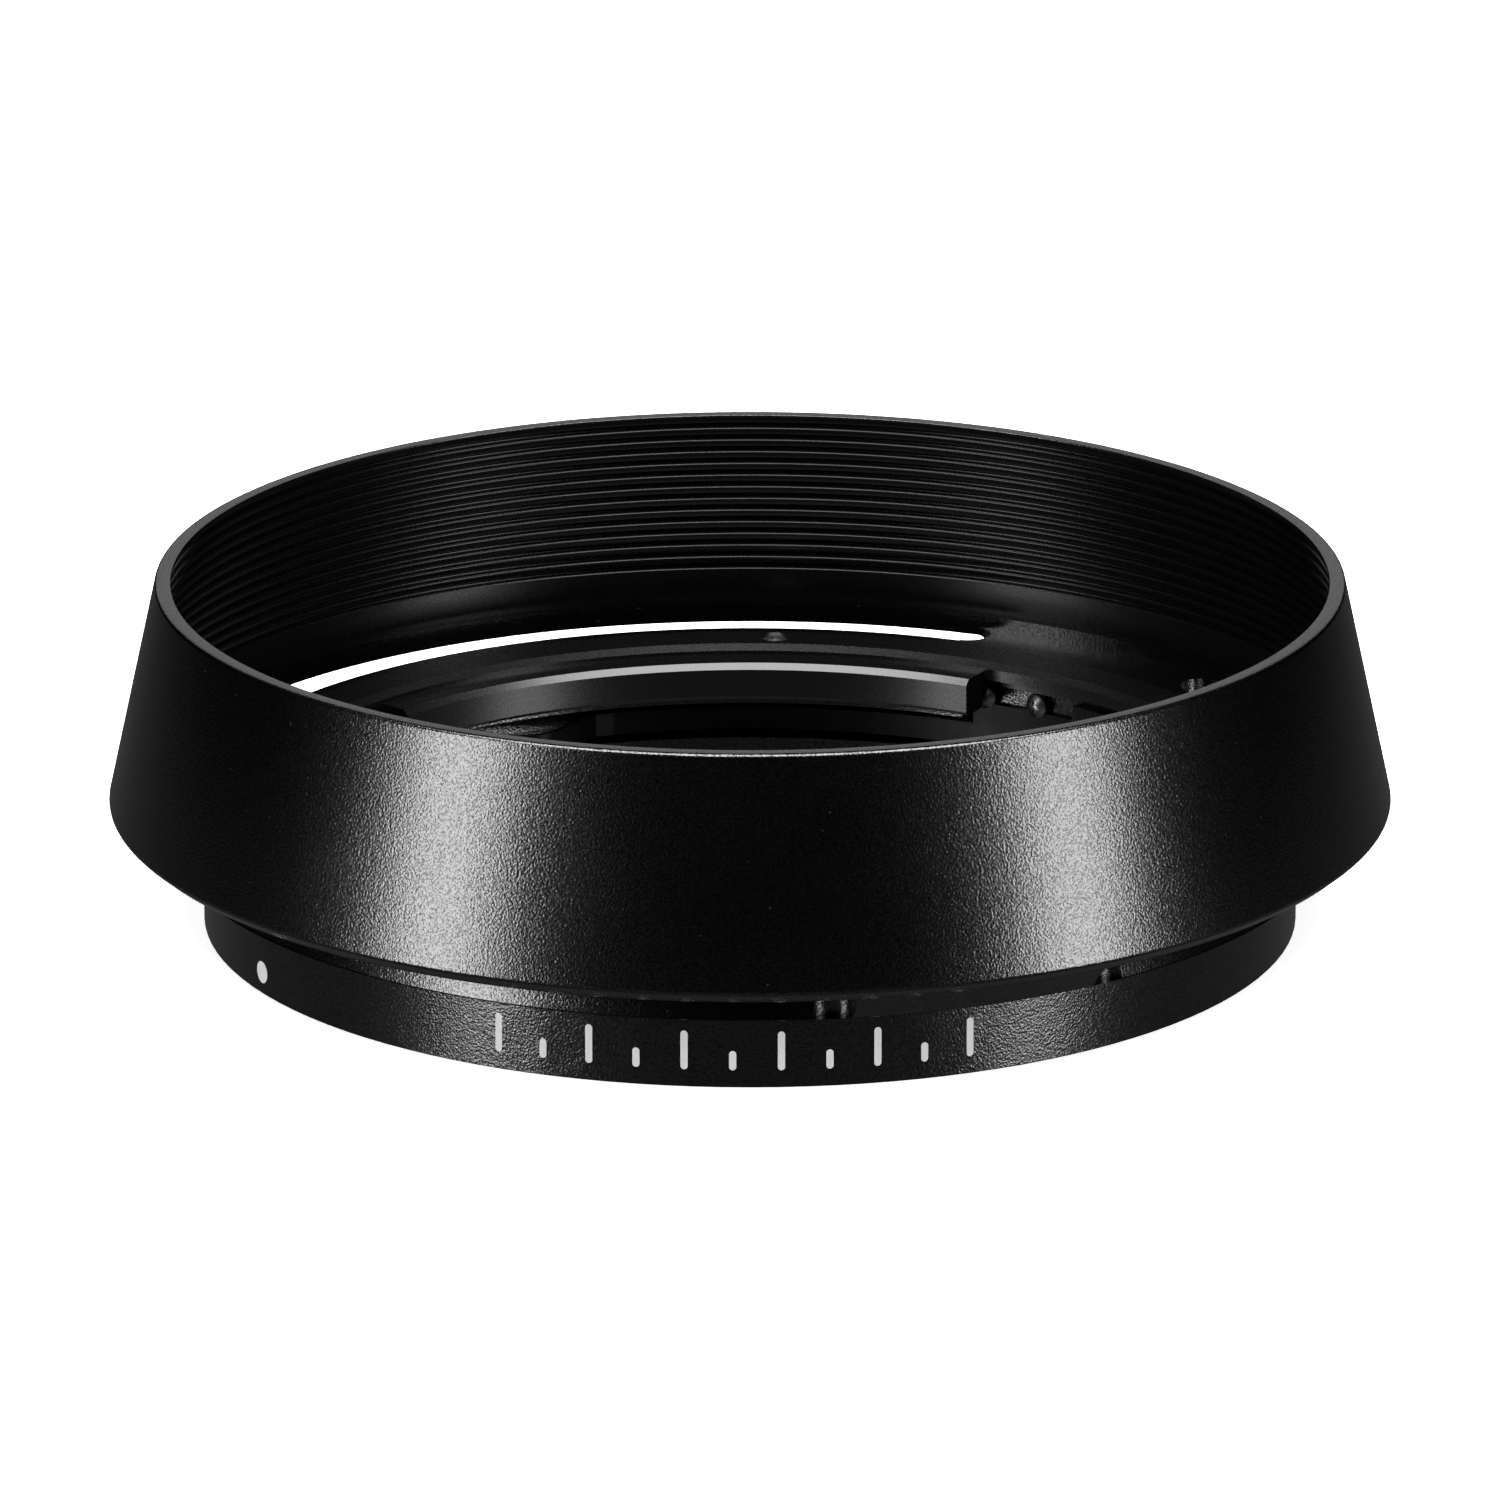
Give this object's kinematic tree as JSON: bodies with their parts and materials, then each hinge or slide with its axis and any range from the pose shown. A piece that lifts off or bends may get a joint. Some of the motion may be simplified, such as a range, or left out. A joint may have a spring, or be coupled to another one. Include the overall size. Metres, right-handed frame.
{
  "type": "lens hood",
  "caption": "Round vented metal lens hood: a ridged conical shade on a bayonet mount ring with long curved vents, inward lugs and leaf springs that click.",
  "frame": {"origin": "centre of the lens-side face of the mount ring, on the optical axis", "axes": "+Z along the optical axis from the lens towards the subject; the screws of the first leaf spring lie between +X and +Y"},
  "size_m": [0.065, 0.065, 0.0178],
  "materials": {
    "shade_black": "bead blasted and black anodised, satin",
    "satin_black": "bead blasted and black anodised, satin",
    "machined_black": "fine turned and black anodised",
    "blackened_screw": "blackened steel, worn bright round the recess",
    "spring_steel": "dark tempered spring strip",
    "white_enamel": "white enamel filled engraving"
  },
  "bodies": {
    "hood": {"shade_shell": "shade_black", "vented_base": "satin_black", "bayonet_ring": "machined_black", "bayonet_ring_screws": "blackened_screw", "spring_screws": "blackened_screw", "index_dot": "white_enamel", "index_ticks": "white_enamel"},
    "spring_1": {"click_spring_1": "spring_steel"},
    "spring_2": {"click_spring_2": "spring_steel"},
    "spring_3": {"click_spring_3": "spring_steel"}
  },
  "joints": [
    {"name": "click_spring_1_flex", "type": "hinge", "parent": "hood", "child": "spring_1", "pos_m": [0.01379, 0.02228, 0.0021], "axis": [0, 0, -1], "range_deg": [0, 1.4], "stiffness_Nm_per_rad": 1.5},
    {"name": "click_spring_2_flex", "type": "hinge", "parent": "hood", "child": "spring_2", "pos_m": [-0.02619, 0.0008, 0.0021], "axis": [0, 0, -1], "range_deg": [0, 1.4], "stiffness_Nm_per_rad": 1.5},
    {"name": "click_spring_3_flex", "type": "hinge", "parent": "hood", "child": "spring_3", "pos_m": [0.0124, -0.02308, 0.0021], "axis": [0, 0, -1], "range_deg": [0, 1.4], "stiffness_Nm_per_rad": 1.5}
  ]
}
